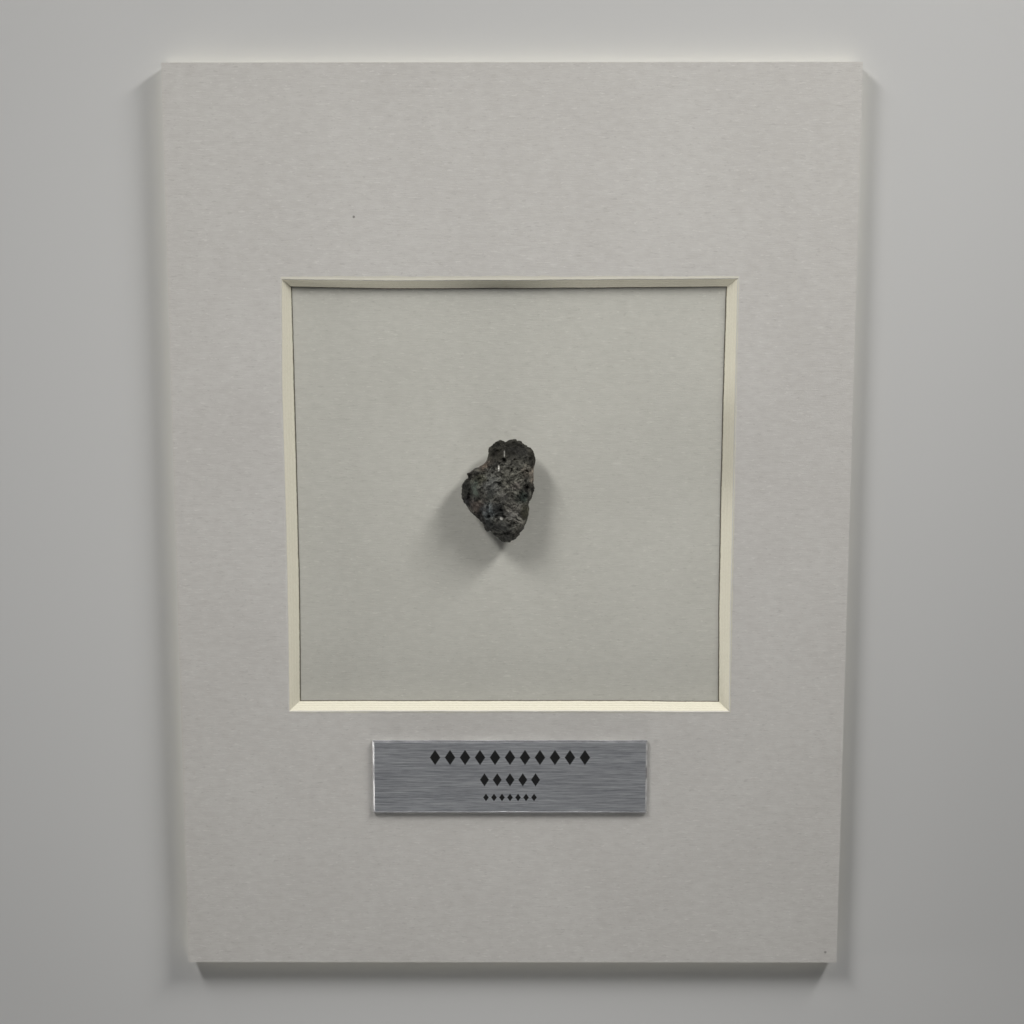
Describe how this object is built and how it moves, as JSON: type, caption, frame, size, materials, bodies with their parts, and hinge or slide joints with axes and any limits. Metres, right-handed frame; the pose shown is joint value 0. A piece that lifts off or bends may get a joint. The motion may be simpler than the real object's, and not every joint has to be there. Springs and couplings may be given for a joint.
{
  "type": "mounted lunar meteorite",
  "caption": "Small dark lunar meteorite fragment fixed on a backing board in a bevelled square window mat, with a blank brushed metal nameplate below it.",
  "frame": {"origin": "middle of the backing board's underside", "axes": "the mount lies on its back: +X to the right and +Y to the top of the mount as it is read, +Z out of its face"},
  "size_m": [0.0906, 0.122, 0.006],
  "materials": {
    "backing_card": "matt warm grey mat board",
    "mat_paper": "matt grey faced mat board with a cream core",
    "meteorite_stone": "dark grey-brown glassy breccia, rough and pitted",
    "putty": "soft mounting putty",
    "brushed_metal": "brushed along its length, with bright bevelled edges"
  },
  "bodies": {
    "root": {"backing_board": "backing_card", "window_mat": "mat_paper", "meteorite": "meteorite_stone", "putty_dab": "putty", "nameplate": "brushed_metal"}
  },
  "joints": []
}
